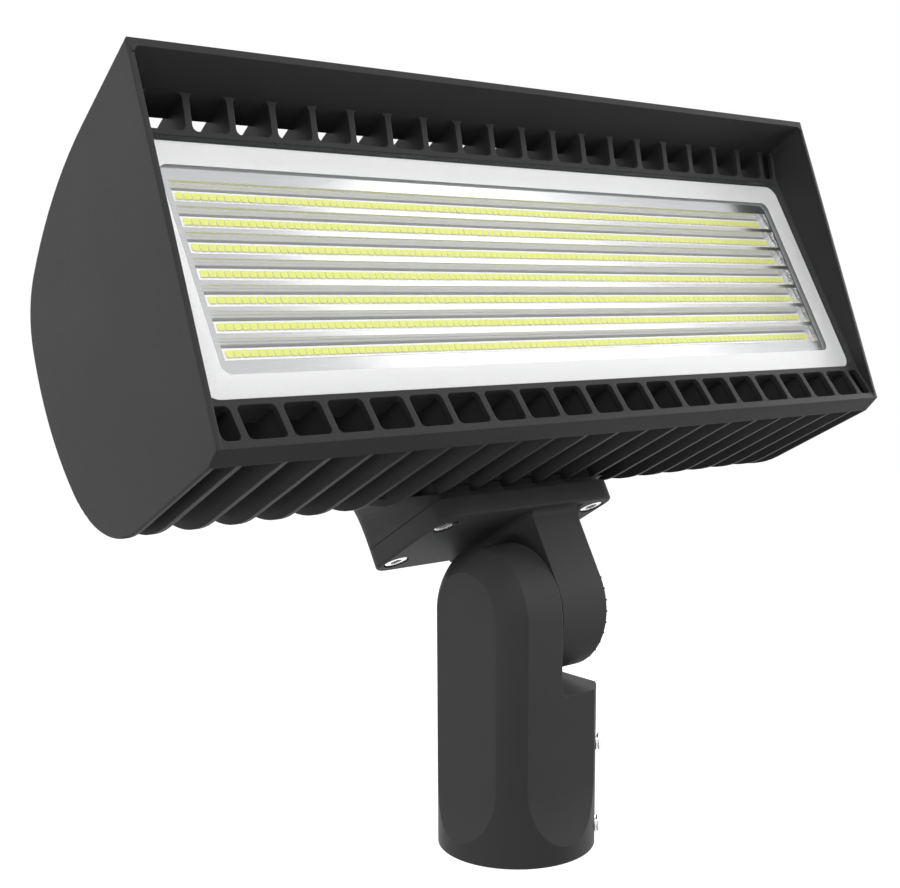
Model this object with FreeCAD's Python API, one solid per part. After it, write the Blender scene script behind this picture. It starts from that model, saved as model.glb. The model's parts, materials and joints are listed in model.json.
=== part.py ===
"""LED flood light on an adjustable slipfitter, in millimetres with +Z up.

The origin is the middle of the slipfitter's lower end. X runs along the head, the lens faces -Y.
The head is drawn in its own frame, as (x, depth, rise) from the middle of the lens's front face,
then tilted up about the knuckle's pivot.
"""
import math
import os

import FreeCAD
import Part
from FreeCAD import Vector

# Head casting
HEAD_LENGTH = 437.6
END_WALL = 2.6
EDGE_ROUND = 0.9
AIM_TILT = 30.0
VISOR_REACH = 29.6
VISOR_SLOPE = 4.5
ROOF_WALL = 3.2
ROOF_REAR = 12.0
ROOF_FILLET = 3.0
LIP_REACH = 3.4
LIP_WALL = 3.4
LIP_REAR = 7.0
SOLE_DROP = 3.2
CROWN_DEPTH = 24.0
HEAD_DEPTH = 127.8
SHOULDER_INSET = 22.0
SHOULDER_DROP = 24.6
BACK_TOP_DROP = 52.0
BACK_LOW_LIFT = 38.6
HEEL_SLOPE = 2.5

# Lens tray, vents and fins
LENS_HEIGHT = 123.0
LENS_THICK = 3.2
LENS_GAP = 0.8
LENS_END_WALL = 0.7
LENS_CORNER = 7.0
PRINT_THICK = 0.3
PRINT_BORDER = 11.7
PRINT_END = 13.1
WINDOW_CORNER = 5.0
BAR_WALL = 2.7
TRAY_DEPTH = 18.0
UPPER_VENT = 15.1
UPPER_LEAN = 5.0
LOWER_VENT = 16.8
GRILLE_WALL = 3.0
RIB_WALL = 3.2
VENT_CORNER = 2.6
FIN_COUNT = 20
END_BAY = 12.0
FIN_WALL = 2.8
FIN_INSET = 0.4
FUSE_LAP = 1.0

# Light engine
LENS_SEAL_THICK = 1.2
LENS_SEAL_WIDTH = 6.0
LENS_SEAL_INSET = 0.5
CAVITY_DEPTH = 5.5
REFLECTOR_INSET = 8.5
REFLECTOR_GAP = 0.5
REFLECTOR_BEHIND = 1.2
REFLECTOR_CORNER = 4.0
REFLECTOR_MARGIN = 9.0
ROW_COUNT = 7
RIDGE_LAND = 2.2
KNEE_DEPTH = 2.5
KNEE_RUN = 0.6
END_LAND = 8.4
END_SLOPE_RUN = 2.2
BOARD_WIDTH = 5.6
BOARD_THICK = 1.2
BOARD_GAP = 0.3

# Pedestal, bracket plate and driver
PLATE_LENGTH = 120.8
PLATE_WIDTH = 75.4
PLATE_THICK = 10.8
PLATE_CORNER = 9.7
PLATE_DEPTH = 107.8
PLATE_ROUND = 1.5
PLATE_SEAL_THICK = 0.5
PLATE_SEAL_INSET = 0.5
PEDESTAL_DROP = 3.7
PEDESTAL_HEIGHT = 48.0
PEDESTAL_SETBACK = 6.0
PEDESTAL_HEEL = 8.0
PEDESTAL_LEAN = 4.0
FLARE_SPREAD = 21.0
FLARE_LIFT = 4.0
FLARE_FAN = 22.0
FLARE_SECTIONS = 10
POCKET_SIDE_WALL = 15.4
POCKET_FRONT_WALL = 10.0
POCKET_BACK_WALL = 8.4
POCKET_LOBBY = 16.0
POCKET_WALL = 5.0
DRIVER_DEPTH = 26.0
DRIVER_HEIGHT = 96.0
DRIVER_GAP = 1.5
DRIVER_ROUND = 3.0
FOOT_TAB = 9.0
FOOT_THICK = 2.0
FOOT_SCREW_RADIUS = 2.0
FOOT_SCREW_DEPTH = 6.0
FOOT_HEAD_RADIUS = 3.6
FOOT_HEAD_HEIGHT = 2.4
PLATE_SCREW_EDGE = 9.1
PLATE_SCREW_INSET = 13.2
PLATE_SCREW_RADIUS = 4.0
PLATE_SCREW_BITE = 13.0
PLATE_HEAD_RADIUS = 6.5
PLATE_HEAD_HEIGHT = 5.0
PLATE_HEAD_GAP = 0.6
PLATE_HEAD_SINK = 0.4
PLATE_SOCKET = 6.0
PLATE_SOCKET_DEPTH = 3.0
THREAD_GAP = 0.05

# Knuckle and slipfitter
TENON_BORE = 61.0
BORE_DEPTH = 77.0
BORE_ROOF = 11.2
COLUMN_WALL = 12.5
FLAT_DEPTH = 7.3
FLAT_RUN_START = 42.0
FLAT_RUN_RADIUS = 78.0
LEDGE_ROOM = 5.8
LEDGE_FILLET = 4.3
KNUCKLE_ROOM = 6.1
KNUCKLE_GAP = 0.5
PIVOT_DEPTH = 111.7
EAR_WALL = 31.6
WEB_FILLET = 4.6
SPAN_FILLET = 9.0
LEG_FILLET = 4.0
TICK_STEP = 10
TICK_REACH = 90
TICK_LENGTH = 4.6
TICK_WIDTH = 1.0
TICK_HEIGHT = 0.6
BOLT_RADIUS = 6.0
BOLT_GRIP = 22.0
BOLT_ACROSS_FLATS = 19.0
BOLT_HEAD_HEIGHT = 7.5
RUNNING_GAP = 0.08
WASHER_RADIUS = 12.0
WASHER_THICK = 2.5
WASHER_HOLE_GAP = 0.4
WASHER_SEAT_GAP = 0.25
LOCK_WASHER_RADIUS = 10.4
LOCK_WASHER_THICK = 2.6
LOCK_WASHER_SLIT = 1.6
WIREWAY_RADIUS = 18.0
WIREWAY_DEPTH = 13.0
WIRE_HOLE_RADIUS = 5.0
WIRE_OFFSET = 13.0
GROMMET_RADIUS = 9.0
GROMMET_HEIGHT = 5.0
GROMMET_BORE = 4.2
GROMMET_GAP = 0.1
SEAL_SPACING = 5.6
SEAL_SECTION = 1.6
SEAL_SIDE_GAP = 0.15
SEAL_PROUD = 0.25
SET_SCREW_RADIUS = 4.76
SET_SCREW_LENGTH = 14.7
SET_SCREW_ROOM = 0.8
SET_SCREW_CUP = 1.5
SET_SCREW_SOCKET = 4.8
SET_SCREW_SOCKET_DEPTH = 6.0
SET_SCREW_LOW = 10.5
SET_SCREW_HIGH = 57.0
SET_SCREW_BEARING = -45.0

X_AXIS = Vector(1, 0, 0)
Y_AXIS = Vector(0, 1, 0)
Z_AXIS = Vector(0, 0, 1)

# Head sizes that follow from the driving dimensions
inner_half = HEAD_LENGTH / 2 - END_WALL
lens_length = 2 * (inner_half - LENS_END_WALL - LENS_GAP)
tray_half_height = LENS_HEIGHT / 2 + LENS_GAP + BAR_WALL
slope = math.radians(VISOR_SLOPE)
roof_run = Vector(0, math.cos(slope), -math.sin(slope))
roof_inward = Vector(0, -math.sin(slope), -math.cos(slope))
roof_rise = tray_half_height + UPPER_VENT + ROOF_WALL / math.cos(slope)
lip_rise = -(tray_half_height + LOWER_VENT + LIP_WALL)
lens_back = PRINT_THICK + LENS_THICK
ledge_depth = lens_back + LENS_SEAL_THICK
floor_depth = ledge_depth + CAVITY_DEPTH
fin_pitch = 2 * (inner_half - END_BAY) / (FIN_COUNT - 1)
fin_places = [(index + 0.5 - FIN_COUNT / 2) * fin_pitch for index in range(FIN_COUNT)]

# Reflector and rows
reflector_length = lens_length - 2 * REFLECTOR_INSET
reflector_height = LENS_HEIGHT - 2 * REFLECTOR_INSET
reflector_front = lens_back + REFLECTOR_BEHIND
row_pitch = (reflector_height - 2 * REFLECTOR_MARGIN) / ROW_COUNT
slot_front_length = reflector_length - 2 * END_LAND
slot_back_length = slot_front_length - 2 * END_SLOPE_RUN
slot_front_width = row_pitch - RIDGE_LAND
slot_back_width = BOARD_WIDTH + 2 * BOARD_GAP

# Pedestal, plate and pivot
seam_rise = lip_rise - PEDESTAL_DROP
plate_top = seam_rise - PLATE_SEAL_THICK
plate_under = plate_top - PLATE_THICK
plate_front = PLATE_DEPTH - PLATE_WIDTH / 2
plate_back = PLATE_DEPTH + PLATE_WIDTH / 2
pocket_half = PLATE_LENGTH / 2 - POCKET_SIDE_WALL
pocket_front = plate_front + POCKET_FRONT_WALL
lobby_back = plate_back - POCKET_BACK_WALL
driver_half = pocket_half - DRIVER_GAP - FOOT_TAB
driver_front = pocket_front + DRIVER_GAP
driver_top = plate_top + FOOT_THICK + DRIVER_HEIGHT
column_radius = TENON_BORE / 2 + COLUMN_WALL
knuckle_radius = column_radius - FLAT_DEPTH
ledge_height = BORE_DEPTH + BORE_ROOF
pivot_height = ledge_height + LEDGE_ROOM + knuckle_radius
pivot_rise = plate_under - KNUCKLE_ROOM - knuckle_radius
ear_outer = KNUCKLE_GAP + EAR_WALL
wire_x = KNUCKLE_GAP + WIREWAY_DEPTH / 2
seal_radius = WIREWAY_RADIUS + SEAL_SPACING
pivot_point = Vector(0, 0, pivot_height)


def box(x_range, y_range, z_range):
    """A box between the given limits along each axis."""
    corner = Vector(x_range[0], y_range[0], z_range[0])
    size = (x_range[1] - x_range[0], y_range[1] - y_range[0], z_range[1] - z_range[0])
    return Part.makeBox(*size, corner)


def rod(radius, start, end):
    """A cylinder from one point to another."""
    return Part.makeCylinder(radius, (end - start).Length, start, end - start)


def tube(outer, inner, start, end):
    """A hollow cylinder from one point to another."""
    return rod(outer, start, end).cut(rod(inner, start, end))


def hexagon_rod(across_flats, start, end):
    """A six-sided bar from one point to another along X or Z."""
    axis = (end - start).normalize()
    side = Y_AXIS if abs(axis.y) < 0.5 else X_AXIS
    spoke = side * (across_flats / math.sqrt(3))
    corners = [start + FreeCAD.Rotation(axis, 60 * turn).multVec(spoke) for turn in range(7)]
    return Part.Face(Part.makePolygon(corners)).extrude(end - start)


def polygon_prism(points, sweep):
    """A prism from a closed list of corner points, swept along a vector."""
    return Part.Face(Part.makePolygon(points + points[:1])).extrude(sweep)


def rounded_rectangle(length, width, radius, centre, along, across):
    """A closed wire with four straight sides and four quarter-circle corners."""
    half_length = length / 2
    half_width = width / 2
    bulge = radius * (1 - math.sqrt(0.5))

    def at(first, second):
        return centre + along * first + across * second

    corners = []
    for sign_along, sign_across in ((1, 1), (-1, 1), (-1, -1), (1, -1)):
        side = at(sign_along * half_length, sign_across * (half_width - radius))
        top = at(sign_along * (half_length - radius), sign_across * half_width)
        bend = at(sign_along * (half_length - bulge), sign_across * (half_width - bulge))
        turns_in = sign_along == sign_across
        corners.append((side, bend, top) if turns_in else (top, bend, side))
    edges = []
    for index, (start, bend, end) in enumerate(corners):
        edges.append(Part.LineSegment(corners[index - 1][2], start).toShape())
        edges.append(Part.Arc(start, bend, end).toShape())
    return Part.Wire(edges)


def rounded_slab(length, width, radius, centre, along, across, sweep):
    """A slab with rounded corners, swept along a vector."""
    return Part.Face(rounded_rectangle(length, width, radius, centre, along, across)).extrude(sweep)


def concave_fillet(corner, first, second, radius, sweep):
    """A prism that fills an inner corner with a hollow quarter round.

    The fillet spreads from the corner along the two unit vectors, and laps into both walls.
    """
    lap = (first + second) * -FUSE_LAP
    centre = corner + (first + second) * radius
    bend = centre - (first + second) * (radius * math.sqrt(0.5))
    start = corner + first * radius
    end = corner + second * radius
    path = [start - second * FUSE_LAP, corner + lap, end - first * FUSE_LAP]
    edges = [Part.LineSegment(a, b).toShape() for a, b in zip([start] + path, path + [end])]
    edges.append(Part.Arc(end, bend, start).toShape())
    return Part.Face(Part.Wire(edges)).extrude(sweep)


def tangent_arc(start, heading, end):
    """An arc that leaves a point of the YZ plane on a heading and ends at another point.

    Gives the arc and the heading at its end.
    """
    chord = end - start
    bearing = math.atan2(chord.z, chord.y)
    half_turn = (bearing - heading + math.pi) % (2 * math.pi) - math.pi
    left = Vector(0, -math.sin(bearing), math.cos(bearing))
    bend = (start + end) * 0.5 - left * (chord.Length / 2 * math.tan(half_turn / 2))
    return Part.Arc(start, bend, end).toShape(), bearing + half_turn


def roof_at(depth):
    """The rise of the roof's upper surface at a depth."""
    return roof_rise - depth * math.tan(slope)


visor_edge = Vector(0, -VISOR_REACH, roof_at(-VISOR_REACH))
lip_edge = Vector(0, -LIP_REACH, lip_rise)
sole = Vector(0, LIP_REAR, lip_rise - SOLE_DROP)


def meeting_point(start, heading, line_point, line_run):
    """Where a heading from a point of the YZ plane meets a line, and how far off that is."""
    run = Vector(0, math.cos(heading), math.sin(heading))
    gap = line_point - start
    distance = (gap.y * line_run.z - gap.z * line_run.y) / (run.y * line_run.z - run.z * line_run.y)
    return start + run * distance, distance


def head_outline():
    """The head's D-shaped end profile, its lower back corner an arc that ends along the sole's line."""
    crown = Vector(0, CROWN_DEPTH, roof_at(CROWN_DEPTH))
    shoulder = Vector(0, HEAD_DEPTH - SHOULDER_INSET, crown.z - SHOULDER_DROP)
    back_top = Vector(0, HEAD_DEPTH, crown.z - BACK_TOP_DROP)
    back_low = Vector(0, HEAD_DEPTH, lip_rise + BACK_LOW_LIFT)
    edges = [Part.LineSegment(visor_edge, crown).toShape()]
    heading = -slope
    start = crown
    for end in (shoulder, back_top, back_low):
        edge, heading = tangent_arc(start, heading, end)
        edges.append(edge)
        start = end
    heel_angle = math.radians(HEEL_SLOPE)
    sole_run = Vector(0, -math.cos(heel_angle), -math.sin(heel_angle))
    corner, distance = meeting_point(back_low, heading, sole, sole_run)
    heel = corner + sole_run * distance
    edges.append(tangent_arc(back_low, heading, heel)[0])
    for first, second in zip((heel, sole, lip_edge), (sole, lip_edge, visor_edge)):
        edges.append(Part.LineSegment(first, second).toShape())
    return Part.Wire(edges)


def end_panels(outline):
    """The two flat end walls, with a small round on each outer edge."""
    panel = Part.Face(outline).extrude(X_AXIS * END_WALL)
    outer_edges = [edge for edge in panel.Edges if edge.BoundBox.XMin > END_WALL / 2]
    panel = panel.makeFillet(EDGE_ROUND, outer_edges)
    right = panel.translated(X_AXIS * inner_half)
    return [right, right.mirror(Vector(), X_AXIS)]


def visor_roof():
    """The sloping roof that shades the lens, its front in line with the end walls' edges."""
    front = (lip_edge - visor_edge).normalize()
    rear = Vector(0, ROOF_REAR, roof_at(ROOF_REAR))
    under_front = visor_edge + front * (ROOF_WALL / front.dot(roof_inward))
    section = [visor_edge, rear, rear + roof_inward * ROOF_WALL, under_front]
    return span_prism(section)


def roof_fillets():
    """The hollow rounds between the roof's underside and the two end walls."""
    front = visor_edge + roof_inward * ROOF_WALL + roof_run * (ROOF_FILLET / 4)
    length = (VISOR_REACH - UPPER_LEAN) / math.cos(slope)
    fillets = []
    for side in (X_AXIS, -X_AXIS):
        corner = front + side * inner_half
        fillets.append(concave_fillet(corner, -side, roof_inward, ROOF_FILLET, roof_run * length))
    return fillets


def lower_lip():
    """The narrow shelf along the head's lower front edge."""
    lift = Vector(0, 0, LIP_WALL)
    return span_prism([lip_edge, sole, sole + lift, lip_edge + lift])


def span_prism(section):
    """A prism from end wall to end wall, from corner points in the YZ plane."""
    start = X_AXIS * -inner_half
    return polygon_prism([point + start for point in section], X_AXIS * (2 * inner_half))


def vent_grille(low, high):
    """An upright plate pierced by a row of rounded vents between two rises."""
    middle = (low + high) / 2
    height = high - low
    outer = rounded_rectangle(2 * inner_half, height + 2 * FUSE_LAP, FUSE_LAP,
                              Z_AXIS * middle, X_AXIS, Z_AXIS)
    ribs = [-inner_half] + fin_places + [inner_half]
    holes = []
    for left, right in zip(ribs, ribs[1:]):
        centre = Vector((left + right) / 2, 0, middle)
        holes.append(rounded_rectangle(right - left - RIB_WALL, height, VENT_CORNER,
                                       centre, X_AXIS, Z_AXIS))
    face = Part.Face(outer).cut([Part.Face(hole) for hole in holes])
    return face.extrude(Y_AXIS * GRILLE_WALL)


def upper_grille():
    """The vents above the lens, leaning forward to the roof's underside."""
    lean = math.atan2(UPPER_LEAN, UPPER_VENT)
    height = UPPER_VENT / (math.cos(lean) - math.sin(lean) * math.tan(slope))
    grille = vent_grille(tray_half_height, tray_half_height + height)
    grille.rotate(Vector(0, 0, tray_half_height), X_AXIS, math.degrees(lean))
    return grille


def lower_grille():
    """The vents below the lens, leaning forward to the lip."""
    grille = vent_grille(lip_rise + LIP_WALL, -tray_half_height)
    lean = math.degrees(math.atan2(LIP_REACH, LOWER_VENT + LIP_WALL))
    grille.rotate(Vector(0, 0, -tray_half_height), X_AXIS, -lean)
    return grille


def fins(outline):
    """The cooling fins, each cut round the lens tray and back from the vents' fronts."""
    blank = Part.Face(outline.makeOffset2D(-FIN_INSET))
    reach = blank.BoundBox.DiagonalLength
    front = GRILLE_WALL / 2
    top = front - UPPER_LEAN
    bottom = front - LIP_REACH
    ahead = [Vector(0, top, reach), Vector(0, top, tray_half_height + UPPER_VENT),
             Vector(0, front, tray_half_height), Vector(0, front, -tray_half_height),
             Vector(0, bottom, lip_rise), Vector(0, bottom, -reach),
             Vector(0, -reach, -reach), Vector(0, -reach, reach)]
    inside = tray_half_height - FUSE_LAP
    back = TRAY_DEPTH - FUSE_LAP
    behind_lens = [Vector(0, -reach, -inside), Vector(0, back, -inside),
                   Vector(0, back, inside), Vector(0, -reach, inside)]
    for points in (ahead, behind_lens):
        blank = blank.cut(Part.Face(Part.makePolygon(points + points[:1])))
    fin = blank.extrude(X_AXIS * FIN_WALL).translated(X_AXIS * (-FIN_WALL / 2))
    return [fin.translated(X_AXIS * place) for place in fin_places]


def lens_tray():
    """The shallow tray round the lens, with a ledge for its seal and a floor for the boards."""
    tray = box((-inner_half, inner_half), (0, TRAY_DEPTH), (-tray_half_height, tray_half_height))
    recess = rounded_slab(lens_length + 2 * LENS_GAP, LENS_HEIGHT + 2 * LENS_GAP,
                          LENS_CORNER + LENS_GAP, Vector(), X_AXIS, Z_AXIS, Y_AXIS * ledge_depth)
    cavity = rounded_slab(reflector_length + 2 * REFLECTOR_GAP, reflector_height + 2 * REFLECTOR_GAP,
                          REFLECTOR_CORNER + REFLECTOR_GAP, Vector(), X_AXIS, Z_AXIS,
                          Y_AXIS * floor_depth)
    return tray.cut([recess, cavity])


def pedestal():
    """The block under the fins that the bracket plate bolts to.

    Its foot flares out and back along a quarter ellipse to the fins' lower edges, and its back leans
    forward to the head.
    """
    width = PLATE_WIDTH - PEDESTAL_SETBACK
    front = Vector(0, plate_back - width, seam_rise)
    sections = []
    for index in range(FLARE_SECTIONS):
        turn = math.pi / 2 * index / (FLARE_SECTIONS - 1)
        spread = FLARE_SPREAD * (1 - math.cos(turn))
        fan = math.radians(FLARE_FAN) * math.sin(turn)
        across = Vector(0, math.cos(fan), math.sin(fan))
        centre = front + Z_AXIS * (FLARE_LIFT * math.sin(turn)) + across * (width / 2)
        sections.append(rounded_rectangle(PLATE_LENGTH + 2 * spread, width, PLATE_CORNER + spread,
                                          centre, X_AXIS, across))
    flare = Part.makeLoft(sections, True, True)
    block = rounded_slab(PLATE_LENGTH - 2 * FUSE_LAP, width - 2 * FUSE_LAP, PLATE_CORNER - FUSE_LAP,
                         front + Y_AXIS * (width / 2) + Z_AXIS * FUSE_LAP, X_AXIS, Y_AXIS,
                         Z_AXIS * (PEDESTAL_HEIGHT - FUSE_LAP))
    low = seam_rise + PEDESTAL_HEEL
    top = seam_rise + PEDESTAL_HEIGHT
    clear = plate_back + PLATE_WIDTH
    behind = [(plate_back, low), (HEAD_DEPTH + PEDESTAL_LEAN, top), (clear, top), (clear, low)]
    start = -PLATE_LENGTH / 2 - 2 * FLARE_SPREAD
    waste = polygon_prism([Vector(start, depth, rise) for depth, rise in behind], X_AXIS * (-2 * start))
    return [block.cut(waste), flare.cut(waste)]


def driver_core():
    """The closed box among the middle fins that the driver's pocket is cut from."""
    half = driver_half + DRIVER_GAP + POCKET_WALL
    back = driver_front + DRIVER_DEPTH + DRIVER_GAP + POCKET_WALL
    top = driver_top + DRIVER_GAP + POCKET_WALL
    return box((-half, half), (pocket_front - POCKET_WALL, back), (seam_rise + PEDESTAL_HEEL, top))


def driver_pocket():
    """The hollow for the driver, with a wider lobby just above the bracket plate."""
    half = driver_half + DRIVER_GAP
    back = driver_front + DRIVER_DEPTH + DRIVER_GAP
    pocket = box((-half, half), (pocket_front, back), (seam_rise, driver_top + DRIVER_GAP))
    lobby = box((-pocket_half, pocket_half), (pocket_front, lobby_back),
                (seam_rise, seam_rise + POCKET_LOBBY))
    return pocket.fuse(lobby)


def plate_screw_places():
    """The four places of the bracket plate's screws, on the plate's underside."""
    along = PLATE_LENGTH / 2 - PLATE_SCREW_EDGE
    across = PLATE_WIDTH / 2 - PLATE_SCREW_INSET
    return [Vector(sign_x * along, PLATE_DEPTH + sign_y * across, plate_under)
            for sign_x in (-1, 1) for sign_y in (-1, 1)]


def plate_screw_holes(bottom, top, radius):
    """The four screw holes between two rises."""
    return [rod(radius, Vector(place.x, place.y, bottom), Vector(place.x, place.y, top))
            for place in plate_screw_places()]


def housing():
    """The finned casting: end walls, roof, lip, vents, fins, lens tray, pedestal and driver core."""
    outline = head_outline()
    pieces = end_panels(outline) + fins(outline) + roof_fillets() + pedestal()
    pieces += [visor_roof(), lower_lip(), upper_grille(), lower_grille(), driver_core()]
    casting = lens_tray().fuse(pieces)
    screw_end = seam_rise + PLATE_SCREW_BITE
    casting = casting.cut(plate_screw_holes(seam_rise, screw_end, PLATE_SCREW_RADIUS + THREAD_GAP))
    return casting.cut(driver_pocket()).removeSplitter()


def lens_border():
    """The white border on the inner face of the glass, open at the window."""
    centre = Y_AXIS * LENS_THICK
    outer = rounded_rectangle(lens_length, LENS_HEIGHT, LENS_CORNER, centre, X_AXIS, Z_AXIS)
    window = rounded_rectangle(lens_length - 2 * PRINT_END, LENS_HEIGHT - 2 * PRINT_BORDER,
                               WINDOW_CORNER, centre, X_AXIS, Z_AXIS)
    return Part.Face(outer).cut(Part.Face(window)).extrude(Y_AXIS * PRINT_THICK)


def lens_glass():
    """The flat front glass."""
    return rounded_slab(lens_length, LENS_HEIGHT, LENS_CORNER, Vector(), X_AXIS, Z_AXIS,
                        Y_AXIS * LENS_THICK)


def lens_gasket():
    """The seal between the glass and the tray's ledge."""
    centre = Y_AXIS * lens_back
    outer_inset = 2 * LENS_SEAL_INSET
    inner_inset = outer_inset + 2 * LENS_SEAL_WIDTH
    outer = rounded_rectangle(lens_length - outer_inset, LENS_HEIGHT - outer_inset, LENS_CORNER,
                              centre, X_AXIS, Z_AXIS)
    inner = rounded_rectangle(lens_length - inner_inset, LENS_HEIGHT - inner_inset, LENS_CORNER,
                              centre, X_AXIS, Z_AXIS)
    return Part.Face(outer).cut(Part.Face(inner)).extrude(Y_AXIS * LENS_SEAL_THICK)


def row_rises():
    """The rises of the LED rows, from the top row down."""
    return [((ROW_COUNT - 1) / 2 - row) * row_pitch for row in range(ROW_COUNT)]


def reflector():
    """The bright plate with a trough for each row of LEDs, tapering faster behind its knee."""
    plate = rounded_slab(reflector_length, reflector_height, REFLECTOR_CORNER,
                         Y_AXIS * reflector_front, X_AXIS, Z_AXIS,
                         Y_AXIS * (floor_depth - reflector_front))
    troughs = []
    for rise in row_rises():
        sizes = ((slot_front_length, slot_front_width, reflector_front),
                 (slot_front_length - 2 * KNEE_RUN, slot_front_width - 2 * KNEE_RUN,
                  reflector_front + KNEE_DEPTH),
                 (slot_back_length, slot_back_width, floor_depth))
        mouths = []
        for length, width, depth in sizes:
            corners = [Vector(sign_x * length / 2, depth, rise + sign_z * width / 2)
                       for sign_x, sign_z in ((1, 1), (-1, 1), (-1, -1), (1, -1), (1, 1))]
            mouths.append(Part.makePolygon(corners))
        troughs.append(Part.makeLoft(mouths, True, True))
    return plate.cut(troughs)


def led_board(rise):
    """One LED strip on the tray's floor."""
    half = slot_back_length / 2 - BOARD_GAP
    return box((-half, half), (floor_depth - BOARD_THICK, floor_depth),
               (rise - BOARD_WIDTH / 2, rise + BOARD_WIDTH / 2))


def foot_screw_places():
    """The two places of the driver's screws, on the bracket plate's upper face."""
    across = driver_half + FOOT_TAB / 2
    depth = driver_front + DRIVER_DEPTH / 2
    return [Vector(sign * across, depth, plate_top) for sign in (-1, 1)]


def driver():
    """The LED driver, a rounded case on a foot with a tab at each end."""
    back = driver_front + DRIVER_DEPTH
    foot_top = plate_top + FOOT_THICK
    case = box((-driver_half, driver_half), (driver_front, back), (foot_top, driver_top))
    upright = [edge for edge in case.Edges if edge.BoundBox.ZLength > DRIVER_HEIGHT / 2]
    case = case.makeFillet(DRIVER_ROUND, upright)
    foot_half = driver_half + FOOT_TAB
    foot = box((-foot_half, foot_half), (driver_front, back), (plate_top, foot_top))
    holes = [rod(FOOT_SCREW_RADIUS + THREAD_GAP, place, place + Z_AXIS * FOOT_THICK)
             for place in foot_screw_places()]
    return case.fuse(foot).cut(holes).removeSplitter()


def driver_screws():
    """The two pan-head screws that hold the driver's foot to the bracket plate."""
    screws = []
    for place in foot_screw_places():
        seat = place + Z_AXIS * FOOT_THICK
        shank = rod(FOOT_SCREW_RADIUS, place - Z_AXIS * FOOT_SCREW_DEPTH, seat)
        head = rod(FOOT_HEAD_RADIUS, seat, seat + Z_AXIS * FOOT_HEAD_HEIGHT)
        screws.append(shank.fuse(head))
    return Part.Compound(screws)


def bracket_gasket():
    """The seal between the pedestal and the bracket plate."""
    centre = Vector(0, PLATE_DEPTH, plate_top)
    inset = 2 * PLATE_SEAL_INSET
    sheet = rounded_slab(PLATE_LENGTH - inset, PLATE_WIDTH - inset, PLATE_CORNER - PLATE_SEAL_INSET,
                         centre, X_AXIS, Y_AXIS, Z_AXIS * PLATE_SEAL_THICK)
    opening = box((-pocket_half, pocket_half), (pocket_front, lobby_back), (plate_top, seam_rise))
    holes = plate_screw_holes(plate_top, seam_rise, PLATE_SCREW_RADIUS + PLATE_HEAD_GAP)
    return sheet.cut([opening] + holes)


def angle_ticks():
    """The raised marks round the outer face of the bracket's ear."""
    ticks = []
    for angle in range(-TICK_REACH, TICK_REACH + 1, TICK_STEP):
        tick = box((ear_outer - TICK_HEIGHT, ear_outer + TICK_HEIGHT), (-TICK_WIDTH / 2, TICK_WIDTH / 2),
                   (-knuckle_radius, TICK_LENGTH - knuckle_radius))
        tick.rotate(Vector(), X_AXIS, angle)
        ticks.append(tick.translated(Vector(0, PIVOT_DEPTH, pivot_rise)))
    return ticks


def bracket_leg():
    """The leg and round ear on one side of the knuckle, as one slab seen from the end."""
    front = PIVOT_DEPTH - knuckle_radius
    back = PIVOT_DEPTH + knuckle_radius
    top = plate_under + FUSE_LAP
    corners = [Vector(KNUCKLE_GAP, back, pivot_rise), Vector(KNUCKLE_GAP, back, top),
               Vector(KNUCKLE_GAP, front, top), Vector(KNUCKLE_GAP, front, pivot_rise)]
    edges = [Part.LineSegment(a, b).toShape() for a, b in zip(corners, corners[1:])]
    lowest = Vector(KNUCKLE_GAP, PIVOT_DEPTH, pivot_rise - knuckle_radius)
    edges.append(Part.Arc(corners[3], lowest, corners[0]).toShape())
    return Part.Face(Part.Wire(edges)).extrude(X_AXIS * EAR_WALL)


def bracket_fillets():
    """The hollow rounds where the leg meets the plate, inside, outside and in front."""
    front = PIVOT_DEPTH - knuckle_radius
    back = PIVOT_DEPTH + knuckle_radius
    depth_run = Y_AXIS * (back - front)
    inner = Vector(KNUCKLE_GAP, front, plate_under)
    outer = Vector(ear_outer, front, plate_under)
    width_run = X_AXIS * EAR_WALL
    return [concave_fillet(inner, -X_AXIS, -Z_AXIS, WEB_FILLET, depth_run),
            concave_fillet(outer, X_AXIS, -Z_AXIS, SPAN_FILLET, depth_run),
            concave_fillet(inner, -Y_AXIS, -Z_AXIS, LEG_FILLET, width_run)]


def bracket_holes():
    """The bracket's bolt hole, wireway, grommet seat and screw holes."""
    pivot = Vector(0, PIVOT_DEPTH, pivot_rise)
    wireway_end = pivot + X_AXIS * (KNUCKLE_GAP + WIREWAY_DEPTH)
    wire_foot = Vector(wire_x, PIVOT_DEPTH + WIRE_OFFSET, pivot_rise)
    wire_top = Vector(wire_x, wire_foot.y, plate_top)
    holes = [rod(BOLT_RADIUS + RUNNING_GAP, pivot, pivot + X_AXIS * ear_outer),
             rod(WIREWAY_RADIUS, pivot, wireway_end),
             rod(WIRE_HOLE_RADIUS, wire_foot, wire_top),
             rod(GROMMET_RADIUS + GROMMET_GAP, wire_top - Z_AXIS * GROMMET_HEIGHT, wire_top)]
    holes += plate_screw_holes(plate_under, plate_top, PLATE_SCREW_RADIUS + PLATE_HEAD_GAP)
    seat = plate_under + PLATE_HEAD_HEIGHT + PLATE_HEAD_SINK
    holes += plate_screw_holes(plate_under, seat, PLATE_HEAD_RADIUS + PLATE_HEAD_GAP)
    for place in foot_screw_places():
        bottom = place - Z_AXIS * (FOOT_SCREW_DEPTH + FOOT_HEAD_HEIGHT / 2)
        holes.append(rod(FOOT_SCREW_RADIUS + THREAD_GAP, bottom, place))
    return holes


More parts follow.
